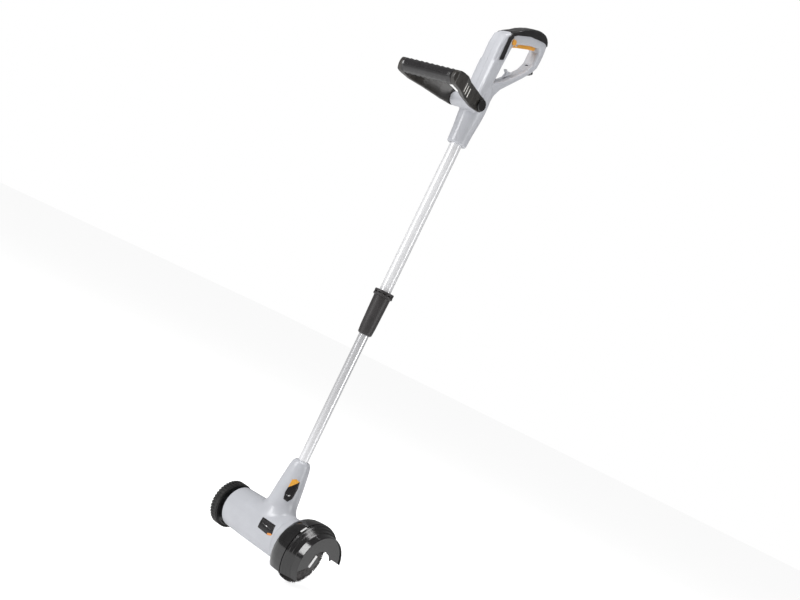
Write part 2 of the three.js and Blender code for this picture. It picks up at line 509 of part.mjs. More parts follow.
// Auxiliary front handle, tilting on a cross bolt
function buildAux() {
  const gy = pivotY - auxReach;
  const h = auxHalf;
  const a0 = bossHalf + 0.5;
  const a1 = a0 + 6.8;
  const arm = [[a0, pivotY + 18], [a0, pivotY - 16], [a0 + 6, pivotY - 43], [a0 + 19, pivotY - 88],
    [h, gy + 22], [h, gy - 16], [h + 9, gy - 16], [h + 13, gy - 8], [h + 13.5, gy + 6], [h + 9, gy + 26],
    [a1 + 18, pivotY - 78], [a1 + 6, pivotY - 40], [a1, pivotY - 14], [a1, pivotY + 18]];
  const flank = [];
  for (let i = 0; i <= 12; i++) {
    const t = Math.PI * i / 12;
    flank.push([pivotY + 15.2 * Math.sin(t), pivotZ + 15.2 * Math.cos(t)]);
  }
  flank.push([pivotY - 30, pivotZ - 18], [gy + 30, pivotZ - 18]);
  for (let i = 0; i <= 10; i++) {
    const t = Math.PI * i / 10;
    flank.push([gy - 15.5 * Math.sin(t), pivotZ - 15.5 * Math.cos(t)]);
  }
  flank.push([gy + 30, pivotZ + 18], [pivotY - 30, pivotZ + 18]);
  const profile = side(flank, 120, 0);
  const right = plan(arm, 22, pivotZ, 0).intersect(profile);
  const left = plan(arm.map(([x, y]) => [-x, y]), 22, pivotZ, 0).intersect(profile);
  let frame = join(right, left, rodX(-h - 3, h + 3, 10, gy, pivotZ, 28));
  frame = cut(frame, rodX(-80, 80, 4.3, pivotY, pivotZ, 20));
  // Three slots sunk 1.8 mm into the outer face of each arm
  for (const d of [68, 84, 100]) {
    const y = pivotY - d;
    const face = d < 78 ? a1 + 6 + (d - 40) * 0.3158 : a1 + 18 + (d - 78) * 0.506;
    frame = cut(frame, box(face - 1.8, face + 14, y - 1.9, y + 1.9, pivotZ - 12.5, pivotZ + 8));
    frame = cut(frame, box(-face - 14, -face + 1.8, y - 1.9, y + 1.9, pivotZ - 12.5, pivotZ + 8));
  }
  piece('aux_frame', frame, black);
  const ribs = [[-h + 0.4, 10.4], [-h + 0.4, 15.6]];
  for (let i = 0; i < 9; i++) {
    const x = -h + 10 + i * (2 * h - 20) / 8;
    ribs.push([x - 5, 14.4], [x, 16.2]);
  }
  ribs.push([h - 5, 14.4]);
  ribs.push([h - 0.4, 15.6], [h - 0.4, 10.4]);
  piece('aux_grip', aboutX(ribs, pivotZ, 28, gy), soft);
  const e = a1 + gap;
  piece('aux_bolt', aboutX([[-e - 2.9, 0], [-e - 2.9, 7], [-e, 7], [-e, 3.8], [e, 3.8], [e, 7],
    [e + 2.9, 7], [e + 2.9, 0]], pivotZ, 24, pivotY), steel);
  const cap = [[e + 3.2, 7.6], [e, 7.6], [e, 13.2], [e + 3, 13.2], [e + 4.5, 11.5], [e + 4.5, 0], [e + 3.2, 0]];
  const turned = aboutX([cap[6], ...cap.slice(0, 6)], pivotZ, 32, pivotY);
  piece('aux_cap_right', turned, black);
  piece('aux_cap_left', turned.mirror([1, 0, 0]), black);
}

buildHousing();
buildMotor();
buildGearbox();
buildGuard();
buildBrush();
buildWheel();
buildPole();
lift = handleZ - handleDatum;
buildHandle();
buildAux();

export default group;
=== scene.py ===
import bpy, bmesh, json, math
from mathutils import Matrix, Vector


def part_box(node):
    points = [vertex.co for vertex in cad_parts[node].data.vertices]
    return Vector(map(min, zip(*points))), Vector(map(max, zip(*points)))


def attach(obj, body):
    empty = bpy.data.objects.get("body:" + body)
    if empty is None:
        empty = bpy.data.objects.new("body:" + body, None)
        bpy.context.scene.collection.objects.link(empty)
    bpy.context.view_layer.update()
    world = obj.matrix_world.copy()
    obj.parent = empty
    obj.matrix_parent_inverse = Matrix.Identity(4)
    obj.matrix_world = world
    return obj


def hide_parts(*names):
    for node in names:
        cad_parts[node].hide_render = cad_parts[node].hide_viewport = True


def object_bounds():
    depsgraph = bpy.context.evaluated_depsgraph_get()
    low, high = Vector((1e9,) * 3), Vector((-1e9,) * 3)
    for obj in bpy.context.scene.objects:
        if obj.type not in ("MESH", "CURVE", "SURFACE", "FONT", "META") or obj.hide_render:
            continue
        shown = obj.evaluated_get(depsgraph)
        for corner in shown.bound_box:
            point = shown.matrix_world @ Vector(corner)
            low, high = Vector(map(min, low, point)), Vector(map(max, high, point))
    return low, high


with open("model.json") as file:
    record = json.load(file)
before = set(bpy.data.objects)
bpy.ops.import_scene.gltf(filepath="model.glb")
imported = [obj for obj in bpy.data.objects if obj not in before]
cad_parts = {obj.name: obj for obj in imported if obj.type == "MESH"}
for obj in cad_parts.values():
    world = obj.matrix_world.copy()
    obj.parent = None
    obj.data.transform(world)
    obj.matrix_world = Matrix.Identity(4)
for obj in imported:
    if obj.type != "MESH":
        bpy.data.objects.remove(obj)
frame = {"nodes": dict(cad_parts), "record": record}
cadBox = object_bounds()
record = frame["record"]
bodyOf = {node: body for body, nodes in record["behaviour"]["bodies"].items() for node in nodes}


def newMaterial(name):
    material = bpy.data.materials.new(name)
    material.use_nodes = True
    return material, material.node_tree.nodes, material.node_tree.links


def noiseNode(nodes, links, scale, detail=4.0, stretch=None):
    coords = nodes.new("ShaderNodeTexCoord")
    out = coords.outputs["Object"]
    if stretch:
        mapping = nodes.new("ShaderNodeMapping")
        mapping.inputs["Scale"].default_value = stretch
        links.new(out, mapping.inputs["Vector"])
        out = mapping.outputs["Vector"]
    noise = nodes.new("ShaderNodeTexNoise")
    noise.inputs["Scale"].default_value = scale
    noise.inputs["Detail"].default_value = detail
    links.new(out, noise.inputs["Vector"])
    return noise.outputs["Fac"]


def mixed(nodes, links, factor, low, high, lowAt=0.35, highAt=0.65):
    ramp = nodes.new("ShaderNodeValToRGB")
    ramp.color_ramp.elements[0].position = lowAt
    ramp.color_ramp.elements[0].color = (*low, 1)
    ramp.color_ramp.elements[1].position = highAt
    ramp.color_ramp.elements[1].color = (*high, 1)
    links.new(factor, ramp.inputs["Fac"])
    return ramp.outputs["Color"]


def spread(nodes, links, factor, low, high):
    span = nodes.new("ShaderNodeMapRange")
    span.inputs["From Min"].default_value = 0.3
    span.inputs["From Max"].default_value = 0.7
    span.inputs["To Min"].default_value = low
    span.inputs["To Max"].default_value = high
    links.new(factor, span.inputs["Value"])
    return span.outputs["Result"]


def finish(name, color, shade=0.05, rough=(0.35, 0.45), blotch=25.0, grain=900.0, depth=0.00006,
           metal=0.0, coat=0.0, stretch=None, grainStretch=None):
    material, nodes, links = newMaterial(name)
    shader = nodes["Principled BSDF"]
    patch = noiseNode(nodes, links, blotch, 5.0, stretch)
    low = tuple(c * (1 - shade) for c in color)
    high = tuple(min(1.0, c * (1 + shade)) for c in color)
    links.new(mixed(nodes, links, patch, low, high), shader.inputs["Base Color"])
    fine = noiseNode(nodes, links, grain, 2.0, grainStretch)
    links.new(spread(nodes, links, fine, *rough), shader.inputs["Roughness"])
    bump = nodes.new("ShaderNodeBump")
    bump.inputs["Strength"].default_value = 0.5
    bump.inputs["Distance"].default_value = depth
    links.new(fine, bump.inputs["Height"])
    links.new(bump.outputs["Normal"], shader.inputs["Normal"])
    shader.inputs["Metallic"].default_value = metal
    if coat:
        shader.inputs["Coat Weight"].default_value = coat
        shader.inputs["Coat Roughness"].default_value = 0.12
    return material


# Roughness runs between its two values; blotch and grain are noise scales; depth is in metres
looks = {
    "greyPlastic": dict(name="greyShell", color=(0.525, 0.535, 0.570), shade=0.03, rough=(0.26, 0.36),
                        blotch=30, grain=1400, depth=0.00005, coat=0.15),
    "blackPlastic": dict(name="blackShell", color=(0.008, 0.0075, 0.008), shade=0.20,
                         rough=(0.14, 0.24), blotch=40, grain=900, depth=0.00005, coat=0.5),
    "softBlack": dict(name="softGrip", color=(0.013, 0.012, 0.013), shade=0.25, rough=(0.18, 0.30),
                      blotch=60, grain=1700, depth=0.00010, coat=0.4),
    "tyreRubber": dict(name="tyreRubber", color=(0.014, 0.013, 0.013), shade=0.30, rough=(0.34, 0.50),
                       blotch=70, grain=1100, depth=0.00015),
    "orangePlastic": dict(name="orangeShell", color=(0.78, 0.36, 0.05), shade=0.06, rough=(0.28, 0.38),
                          blotch=50, grain=1200, depth=0.00004),
    "paleTube": dict(name="paintedTube", color=(0.83, 0.83, 0.845), shade=0.02, rough=(0.20, 0.30),
                     blotch=12, grain=700, depth=0.00002, metal=0.15, coat=0.4,
                     grainStretch=(1, 1, 0.04)),
    "brightTube": dict(name="drawnTube", color=(0.84, 0.84, 0.86), shade=0.04, rough=(0.18, 0.27),
                       blotch=15, grain=900, depth=0.00003, metal=0.7, stretch=(1, 1, 0.1),
                       grainStretch=(1, 1, 0.03)),
    "steel": dict(name="turnedSteel", color=(0.62, 0.62, 0.63), shade=0.08, rough=(0.22, 0.38),
                  blotch=90, grain=1300, depth=0.00004, metal=1.0),
    # Near-white finish for the knob's key: real steel, with a painted highlight in its pale base colour
    "brightSteel": dict(name="brightSteel", color=(0.92, 0.92, 0.92), shade=0.04, rough=(0.30, 0.42),
                        blotch=90, grain=1300, depth=0.00003, metal=0.3),
    "iron": dict(name="laminatedIron", color=(0.20, 0.20, 0.21), shade=0.2, rough=(0.45, 0.6),
                 blotch=90, grain=1500, depth=0.0001, metal=0.8, stretch=(6, 1, 1)),
    "copper": dict(name="copperBars", color=(0.72, 0.36, 0.18), shade=0.12, rough=(0.25, 0.4),
                   blotch=120, grain=1500, depth=0.00005, metal=1.0),
    "wire": dict(name="bristleWire", color=(0.075, 0.07, 0.07), shade=0.45, rough=(0.35, 0.55),
                 blotch=260, grain=2200, depth=0.0001, metal=0.55),
    "armBlack": dict(name="handleArm", color=(0.032, 0.029, 0.026), shade=0.25, rough=(0.24, 0.34),
                     blotch=60, grain=900, depth=0.00006, coat=0.1),
    # Pale cream for the bars in the arms' slots: a painted highlight, standing for the light lines seen
    # along the slots
    "paleBar": dict(name="paleBar", color=(0.80, 0.78, 0.74), shade=0.05, rough=(0.30, 0.42),
                    blotch=120, grain=1500, depth=0.00004),
    "charcoal": dict(name="charcoalSleeve", color=(0.030, 0.027, 0.028), shade=0.12,
                     rough=(0.36, 0.50), blotch=50, grain=1500, depth=0.0001),
}
finishes = {key: finish(**look) for key, look in looks.items()}
print("finishes ready")


def asPiece(name, mesh, finishName, body, *nodes):
    piece = bpy.data.objects.new(name, mesh)
    bpy.context.scene.collection.objects.link(piece)
    if not mesh.materials:
        mesh.materials.append(finishes[finishName])
    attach(piece, body)
    if nodes:
        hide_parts(*nodes)
    return piece


def pieceName(node):
    first, *rest = node.split("_")
    return first + "".join(part.capitalize() for part in rest)


def smoothMesh(mesh, angle):
    mesh.shade_smooth()
    mesh.set_sharp_from_angle(angle=math.radians(angle))


def mergedCopy(node):
    mesh = frame["nodes"][node].data.copy()
    mesh.materials.clear()
    for attribute in [a.name for a in mesh.attributes if a.name in ("sharp_face", "custom_normal")]:
        mesh.attributes.remove(mesh.attributes[attribute])
    work = bmesh.new()
    work.from_mesh(mesh)
    bmesh.ops.remove_doubles(work, verts=work.verts, dist=0.00001)
    work.to_mesh(mesh)
    work.free()
    return mesh


def viaModifiers(mesh, *modifiers):
    holder = bpy.data.objects.new("holder", mesh)
    bpy.context.scene.collection.objects.link(holder)
    for kind, settings in modifiers:
        modifier = holder.modifiers.new(kind, kind)
        for key, value in settings.items():
            setattr(modifier, key, value)
    bpy.context.view_layer.update()
    graph = bpy.context.evaluated_depsgraph_get()
    result = bpy.data.meshes.new_from_object(holder.evaluated_get(graph))
    bpy.data.objects.remove(holder)
    return result


def carried(node, finishName, angle=32, bevel=0.0, name=None):
    mesh = mergedCopy(node)
    if bevel:
        mesh = viaModifiers(mesh, ("BEVEL", {"width": bevel, "segments": 2, "limit_method": "ANGLE",
                                              "angle_limit": math.radians(40)}))
    smoothMesh(mesh, angle)
    mesh.materials.clear()
    return asPiece(name or pieceName(node), mesh, finishName, bodyOf[node], node)


def softened(mesh, voxel, rounds):
    return viaModifiers(mesh, ("REMESH", {"mode": "VOXEL", "voxel_size": voxel}),
                        ("SMOOTH", {"factor": 0.5, "iterations": rounds}))


def moulded(node, finishName, voxel, rounds):
    mesh = softened(mergedCopy(node), voxel, rounds)
    mesh.shade_smooth()
    mesh.materials.clear()
    return asPiece(pieceName(node), mesh, finishName, bodyOf[node], node)


def mouldedPair(nodeLow, nodeHigh, axis, finishName, voxel, rounds):
    # Both halves are softened as one body and parted again, so that the seam stays a fine line
    whole = bmesh.new()
    for node in (nodeLow, nodeHigh):
        whole.from_mesh(mergedCopy(node))
    mesh = bpy.data.meshes.new("whole")
    whole.to_mesh(mesh)
    whole.free()
    mesh = softened(mesh, voxel, rounds)
    halfGap = 0.00015
    normal = Vector((1, 0, 0)) if axis == 0 else Vector((0, 1, 0))
    for node, sign in ((nodeLow, -1), (nodeHigh, 1)):
        work = bmesh.new()
        work.from_mesh(mesh)
        everything = work.verts[:] + work.edges[:] + work.faces[:]
        bmesh.ops.bisect_plane(work, geom=everything, plane_co=normal * (sign * halfGap),
                               plane_no=normal * sign, clear_inner=True)
        rim = [edge for edge in work.edges if edge.is_boundary]
        bmesh.ops.triangle_fill(work, edges=rim, use_beauty=True)
        bmesh.ops.recalc_face_normals(work, faces=work.faces)
        half = bpy.data.meshes.new(node)
        work.to_mesh(half)
        work.free()
        smoothMesh(half, 50)
        half.materials.clear()
        asPiece(pieceName(node), half, finishName, bodyOf[node], node)


def bothSides(points, left, right):
    # A profile given as (inset, radius) up the left side, and mirrored down the right one
    return [(left + x, r) for x, r in points] + [(right - x, r) for x, r in reversed(points)]


def latheX(points, steps, z=0.0):
    work = bmesh.new()
    rings = []
    for x, r in points:
        ring = [work.verts.new((x, r * math.sin(2 * math.pi * i / steps),
                                z + r * math.cos(2 * math.pi * i / steps))) for i in range(steps)]
        rings.append(ring)
    loop = rings + [rings[0]]
    for a, b in zip(loop, loop[1:]):
        for i in range(steps):
            j = (i + 1) % steps
            work.faces.new((a[i], a[j], b[j], b[i]))
    bmesh.ops.recalc_face_normals(work, faces=work.faces)
    mesh = bpy.data.meshes.new("turned")
    work.to_mesh(mesh)
    work.free()
    return mesh


def makeTree(name, inputs):
    tree = bpy.data.node_groups.new(name, "GeometryNodeTree")
    tree.interface.new_socket("Geometry", in_out="INPUT", socket_type="NodeSocketGeometry")
    ids = {}
    for label, kind, value in inputs:
        socket = tree.interface.new_socket(label, in_out="INPUT", socket_type=kind)
        if value is not None:
            socket.default_value = value
        ids[label] = socket.identifier
    tree.interface.new_socket("Geometry", in_out="OUTPUT", socket_type="NodeSocketGeometry")
    start = tree.nodes.new("NodeGroupInput")
    end = tree.nodes.new("NodeGroupOutput")
    return tree, start, end, ids


def mathNode(tree, operation, a, b=None):
    node = tree.nodes.new("ShaderNodeMath")
    node.operation = operation
    for socket, value in zip(node.inputs, (a, b)):
        if value is None:
            continue
        if isinstance(value, (int, float)):
            socket.default_value = value
        else:
            tree.links.new(value, socket)
    return node.outputs[0]


def randomNode(tree, low, high, seed, offset):
    node = tree.nodes.new("FunctionNodeRandomValue")
    node.data_type = "FLOAT"
    for label, value in (("Min", low), ("Max", high)):
        socket = [s for s in node.inputs if s.name == label and s.type == "VALUE"][0]
        if isinstance(value, (int, float)):
            socket.default_value = value
        else:
            tree.links.new(value, socket)
    tree.links.new(mathNode(tree, "ADD", seed, offset), node.inputs["Seed"])
    return [s for s in node.outputs if s.type == "VALUE"][0]


def finishTree(tree, geometry, material, end):
    realize = tree.nodes.new("GeometryNodeRealizeInstances")
    setMaterial = tree.nodes.new("GeometryNodeSetMaterial")
    tree.links.new(geometry, realize.inputs[0])
    tree.links.new(realize.outputs[0], setMaterial.inputs["Geometry"])
    tree.links.new(material, setMaterial.inputs["Material"])
    tree.links.new(setMaterial.outputs[0], end.inputs[0])


def runTree(tree, ids, values, points=None):
    carrier = bpy.data.objects.new("carrier", points or bpy.data.meshes.new("carrier"))
    bpy.context.scene.collection.objects.link(carrier)
    modifier = carrier.modifiers.new("nodes", "NODES")
    modifier.node_group = tree
    for label, value in values.items():
        modifier[ids[label]] = value
    bpy.context.view_layer.update()
    graph = bpy.context.evaluated_depsgraph_get()
    mesh = bpy.data.meshes.new_from_object(carrier.evaluated_get(graph))
    carrier.modifiers.remove(modifier)
    bpy.data.objects.remove(carrier)
    return mesh


def bristleTree():
    tree, start, end, ids = makeTree("bristleRing", [
        ("Count", "NodeSocketInt", 4000), ("Inner Radius", "NodeSocketFloat", 0.03),
        ("Outer Radius", "NodeSocketFloat", 0.06), ("Half Width", "NodeSocketFloat", 0.006),
        ("Wire Radius", "NodeSocketFloat", 0.0004), ("Splay", "NodeSocketFloat", 0.06),
        ("Middle", "NodeSocketVector", None), ("Seed", "NodeSocketInt", 7),
        ("Material", "NodeSocketMaterial", None)])
    o = start.outputs
    points = tree.nodes.new("GeometryNodePoints")
    tree.links.new(o["Count"], points.inputs["Count"])
    angle = randomNode(tree, 0.0, 2 * math.pi, o["Seed"], 1)
    farSide = mathNode(tree, "MULTIPLY", o["Half Width"], -1.0)
    side = randomNode(tree, farSide, o["Half Width"], o["Seed"], 2)
    tilt = randomNode(tree, mathNode(tree, "MULTIPLY", o["Splay"], -1.0), o["Splay"], o["Seed"], 3)
    trim = randomNode(tree, 0.94, 1.0, o["Seed"], 4)
    tip = mathNode(tree, "MULTIPLY", o["Outer Radius"], trim)
    length = mathNode(tree, "SUBTRACT", tip, o["Inner Radius"])
    centre = mathNode(tree, "ADD", o["Inner Radius"], mathNode(tree, "MULTIPLY", length, 0.5))
    sine = mathNode(tree, "SINE", angle)
    cosine = mathNode(tree, "COSINE", angle)
    place = tree.nodes.new("ShaderNodeCombineXYZ")
    tree.links.new(side, place.inputs[0])
    tree.links.new(mathNode(tree, "MULTIPLY", centre, sine), place.inputs[1])
    tree.links.new(mathNode(tree, "MULTIPLY", centre, cosine), place.inputs[2])
    toMiddle = tree.nodes.new("ShaderNodeVectorMath")
    tree.links.new(place.outputs[0], toMiddle.inputs[0])
    tree.links.new(o["Middle"], toMiddle.inputs[1])
    put = tree.nodes.new("GeometryNodeSetPosition")
    tree.links.new(points.outputs[0], put.inputs["Geometry"])
    tree.links.new(toMiddle.outputs[0], put.inputs["Position"])
    aim = tree.nodes.new("ShaderNodeCombineXYZ")
    tree.links.new(tilt, aim.inputs[0])
    tree.links.new(sine, aim.inputs[1])
    tree.links.new(cosine, aim.inputs[2])
    turn = tree.nodes.new("FunctionNodeAlignRotationToVector")
    turn.axis = "Z"
    tree.links.new(aim.outputs[0], turn.inputs["Vector"])
    wire = tree.nodes.new("GeometryNodeMeshCone")
    wire.fill_type = "NONE"
    wire.inputs["Vertices"].default_value = 4
    wire.inputs["Depth"].default_value = 1.0
    tree.links.new(o["Wire Radius"], wire.inputs["Radius Bottom"])
    tree.links.new(mathNode(tree, "MULTIPLY", o["Wire Radius"], 0.7), wire.inputs["Radius Top"])
    centred = tree.nodes.new("GeometryNodeTransform")
    centred.inputs["Translation"].default_value = (0, 0, -0.5)
    tree.links.new(wire.outputs[0], centred.inputs["Geometry"])
    size = tree.nodes.new("ShaderNodeCombineXYZ")
    size.inputs[0].default_value = 1.0
    size.inputs[1].default_value = 1.0
    tree.links.new(length, size.inputs[2])
    copies = tree.nodes.new("GeometryNodeInstanceOnPoints")
    tree.links.new(put.outputs[0], copies.inputs["Points"])
    tree.links.new(centred.outputs[0], copies.inputs["Instance"])
    tree.links.new(turn.outputs[0], copies.inputs["Rotation"])
    tree.links.new(size.outputs[0], copies.inputs["Scale"])
    finishTree(tree, copies.outputs[0], o["Material"], end)
    return tree, ids


def ringTree():
    tree, start, end, ids = makeTree("blockRing", [
        ("Count", "NodeSocketInt", 36), ("Radius", "NodeSocketFloat", 0.05),
        ("Block Length", "NodeSocketFloat", 0.01), ("Block Width", "NodeSocketFloat", 0.003),
        ("Block Height", "NodeSocketFloat", 0.002), ("Slant", "NodeSocketFloat", 0.0),
        ("Middle", "NodeSocketVector", None), ("Material", "NodeSocketMaterial", None)])
    o = start.outputs
    points = tree.nodes.new("GeometryNodePoints")
    tree.links.new(o["Count"], points.inputs["Count"])
    index = tree.nodes.new("GeometryNodeInputIndex")
    turn = mathNode(tree, "MULTIPLY", mathNode(tree, "DIVIDE", index.outputs[0], o["Count"]), 2 * math.pi)
    place = tree.nodes.new("ShaderNodeCombineXYZ")
    tree.links.new(mathNode(tree, "MULTIPLY", o["Radius"], mathNode(tree, "SINE", turn)), place.inputs[1])
    tree.links.new(mathNode(tree, "MULTIPLY", o["Radius"], mathNode(tree, "COSINE", turn)), place.inputs[2])
    toMiddle = tree.nodes.new("ShaderNodeVectorMath")
    tree.links.new(place.outputs[0], toMiddle.inputs[0])
    tree.links.new(o["Middle"], toMiddle.inputs[1])
    put = tree.nodes.new("GeometryNodeSetPosition")
    tree.links.new(points.outputs[0], put.inputs["Geometry"])
    tree.links.new(toMiddle.outputs[0], put.inputs["Position"])
    size = tree.nodes.new("ShaderNodeCombineXYZ")
    tree.links.new(o["Block Length"], size.inputs[0])
    tree.links.new(o["Block Width"], size.inputs[1])
    tree.links.new(o["Block Height"], size.inputs[2])
    cube = tree.nodes.new("GeometryNodeMeshCube")
    tree.links.new(size.outputs[0], cube.inputs["Size"])
    slant = tree.nodes.new("ShaderNodeCombineXYZ")
    tree.links.new(o["Slant"], slant.inputs[2])
    lean = tree.nodes.new("GeometryNodeTransform")
    tree.links.new(cube.outputs[0], lean.inputs["Geometry"])
    tree.links.new(slant.outputs[0], lean.inputs["Rotation"])
    angles = tree.nodes.new("ShaderNodeCombineXYZ")
    tree.links.new(mathNode(tree, "MULTIPLY", turn, -1.0), angles.inputs[0])
    copies = tree.nodes.new("GeometryNodeInstanceOnPoints")
    tree.links.new(put.outputs[0], copies.inputs["Points"])
    tree.links.new(lean.outputs[0], copies.inputs["Instance"])
    tree.links.new(angles.outputs[0], copies.inputs["Rotation"])
    finishTree(tree, copies.outputs[0], o["Material"], end)
    return tree, ids


housing = {"voxel": 0.0013, "rounds": 9}
mouldedPair("housing_front", "housing_rear", 1, "greyPlastic", housing["voxel"], housing["rounds"])
print("housing made")

for node in ("guard_inner", "guard_outer"):
    carried(node, "blackPlastic", 28)
for node in ("wheel_rim", "brush_hub", "clamp_knob"):
    carried(node, "blackPlastic", 30)
carried("gearbox_cover", "greyPlastic", 30)
# The key is a real steel part; its near-white colour paints in the bright slit's highlight
carried("knob_key", "brightSteel", 30)
carried("clamp_washer", "steel", 30)

brush = {"count": 7000, "wire": 0.00042, "splay": 0.025, "seed": 11, "coreShare": 0.9,
         "hubGap": 0.0004, "sideGap": 0.0006, "coreEdge": 0.004}
low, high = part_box("brush_bristles")
brushMiddle = (low + high) / 2
brushOuter = (high.z - low.z) / 2
halfWidth = (high.x - low.x) / 2
hubLow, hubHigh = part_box("brush_hub")
brushInner = (hubHigh.z - hubLow.z) / 2 + brush["hubGap"]
bristles, bristleIds = bristleTree()
mesh = runTree(bristles, bristleIds, {
    "Count": brush["count"], "Inner Radius": brushInner, "Outer Radius": brushOuter,
    "Half Width": halfWidth - brush["sideGap"], "Wire Radius": brush["wire"], "Splay": brush["splay"],
    "Middle": tuple(brushMiddle), "Seed": brush["seed"], "Material": finishes["wire"]})
asPiece("brushWires", mesh, "wire", "brush", "brush_bristles")
coreRadius = brushOuter * brush["coreShare"]
coreSide = [(0.0015, brushInner), (0.001, brushInner + brush["coreEdge"]),
            (0.0005, coreRadius - brush["coreEdge"]), (0.002, coreRadius)]
core = latheX(bothSides(coreSide, low.x, high.x), 96, brushMiddle.z)
smoothMesh(core, 40)
asPiece("brushCore", core, "wire", "brush")
print("brush made")

tyre = {"treads": 44, "treadDepth": 0.0017, "slant": 0.28, "rimGap": 0.0003, "leastWall": 0.004,
        "blockShare": 0.46, "blockPlace": 0.24, "blockWidth": 0.0050, "blockHeight": 0.0026,
        "blockSink": 0.0013, "blockEdge": 0.0004}
low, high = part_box("wheel_tyre")
tyreMiddle = (low + high) / 2
tyreRadius = (high.z - low.z) / 2
rimLow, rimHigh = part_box("wheel_rim")
bore = min((rimHigh.z - rimLow.z) / 2 + tyre["rimGap"], tyreRadius - tyre["leastWall"])
band = tyreRadius - tyre["treadDepth"]
tyreSide = [(0.0008, bore), (0, bore + 0.0012), (0.0004, band - 0.0012), (0.002, band)]
body = latheX(bothSides(tyreSide, low.x, high.x), 96, tyreMiddle.z)
smoothMesh(body, 35)
asPiece("tyreBody", body, "tyreRubber", "wheel", "wheel_tyre")
treads, treadIds = ringTree()
width = high.x - low.x
for side, name in ((-1, "tyreTreadLeft"), (1, "tyreTreadRight")):
    mesh = runTree(treads, treadIds, {
        "Count": tyre["treads"], "Radius": tyreRadius - tyre["blockSink"],
        "Block Length": width * tyre["blockShare"], "Block Width": tyre["blockWidth"],
        "Block Height": tyre["blockHeight"], "Slant": tyre["slant"] * side,
        "Middle": (tyreMiddle.x + side * width * tyre["blockPlace"], tyreMiddle.y, tyreMiddle.z),
        "Material": finishes["tyreRubber"]})
    mesh = viaModifiers(mesh, ("BEVEL", {"width": tyre["blockEdge"], "segments": 2}))
    asPiece(name, mesh, "tyreRubber", "wheel")
print("wheel made")

carried("lower_tube", "brightTube", 30)
carried("upper_tube", "paleTube", 30)
carried("collar_sleeve", "charcoal", 30)
carried("collar_ring", "charcoal", 30)
handle = {"voxel": 0.0012, "rounds": 8, "gripVoxel": 0.0008, "gripRounds": 10, "triggerEdge": 0.0005}
mouldedPair("handle_left", "handle_right", 0, "greyPlastic", handle["voxel"], handle["rounds"])
moulded("grip_overmould", "softBlack", handle["gripVoxel"], handle["gripRounds"])
carried("cable_hook", "greyPlastic", 30)
carried("trigger", "orangePlastic", 30, handle["triggerEdge"], "triggerLever")
carried("lock_button", "orangePlastic", 30)
carried("power_inlet", "blackPlastic", 30)

# Slots as (half distance between the arms' faces, distance from the pivot), in metres
arm = {"voxel": 0.0008, "rounds": 4, "slots": ((0.05664, 0.068), (0.06284, 0.084), (0.07093, 0.100)),
       "slotDepth": 0.0018, "bar": (0.0013, 0.0034, 0.0195), "barDrop": 0.00225, "barEdge": 0.0002}
moulded("aux_frame", "armBlack", arm["voxel"], arm["rounds"])
carried("aux_grip", "softBlack", 50)
carried("aux_cap_left", "blackPlastic", 30)
carried("aux_cap_right", "blackPlastic", 30)
low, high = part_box("aux_bolt")
armPivot = (low + high) / 2


def barTree():
    tree, start, end, ids = makeTree("armBars", [
        ("Size", "NodeSocketVector", None), ("Material", "NodeSocketMaterial", None)])
    bar = tree.nodes.new("GeometryNodeMeshCube")
    tree.links.new(start.outputs["Size"], bar.inputs["Size"])
    copies = tree.nodes.new("GeometryNodeInstanceOnPoints")
    tree.links.new(start.outputs["Geometry"], copies.inputs["Points"])
    tree.links.new(bar.outputs[0], copies.inputs["Instance"])
    finishTree(tree, copies.outputs[0], start.outputs["Material"], end)
    return tree, ids


# Pale bars sunk into the arms' slots: a painted highlight, their pale colour stands for the light lines
# seen along the slots
spots = bpy.data.meshes.new("spots")
sunk = arm["slotDepth"] - arm["bar"][0] / 2
spots.from_pydata([(side * (x - sunk), armPivot.y - distance, armPivot.z - arm["barDrop"])
                   for x, distance in arm["slots"] for side in (-1, 1)], [], [])
bars, barIds = barTree()
mesh = runTree(bars, barIds, {"Size": arm["bar"], "Material": finishes["paleBar"]}, spots)
mesh = viaModifiers(mesh, ("BEVEL", {"width": arm["barEdge"], "segments": 1}))
asPiece("armBars", mesh, "paleBar", bodyOf["aux_frame"])
print("handles made")

# What is left of the frame keeps its shape and gets its finish
innerFinish = {"grey_plastic": "greyPlastic", "black_plastic": "blackPlastic", "soft_grip": "softBlack",
               "orange_plastic": "orangePlastic", "aluminium_tube": "brightTube", "steel_parts": "steel",
               "iron_parts": "iron", "copper_parts": "copper"}
for node, thing in frame["nodes"].items():
    if thing.hide_render:
        continue
    kind = thing.material_slots[0].material.name.split(".")[0] if thing.material_slots else "steel_parts"
    look = finishes[innerFinish.get(kind, "steel")]
    if not thing.material_slots:
        thing.data.materials.append(look)
    for slot in thing.material_slots:
        slot.material = look


def panelFinish(name):
    material, nodes, links = newMaterial(name)
    shader = nodes["Principled BSDF"]
    tint = nodes.new("ShaderNodeAttribute")
    tint.attribute_name = "tint"
    patch = noiseNode(nodes, links, 400, 3)
    shade = mixed(nodes, links, patch, (0.93, 0.93, 0.93), (1, 1, 1))
    mix = nodes.new("ShaderNodeMix")
    mix.data_type = "RGBA"
    mix.blend_type = "MULTIPLY"
    mix.inputs["Factor"].default_value = 1.0
    links.new(tint.outputs["Color"], mix.inputs["A"])
    links.new(shade, mix.inputs["B"])
    links.new(mix.outputs["Result"], shader.inputs["Base Color"])
    links.new(spread(nodes, links, patch, 0.22, 0.3), shader.inputs["Roughness"])
    return material


finishes["panel"] = panelFinish("printedPanel")


def inside(polygon, p):
    hit = False
    for (x1, y1), (x2, y2) in zip(polygon, polygon[1:] + polygon[:1]):
        if (y1 > p[1]) != (y2 > p[1]) and p[0] < (x2 - x1) * (p[1] - y1) / (y2 - y1) + x1:
            hit = not hit
    return hit


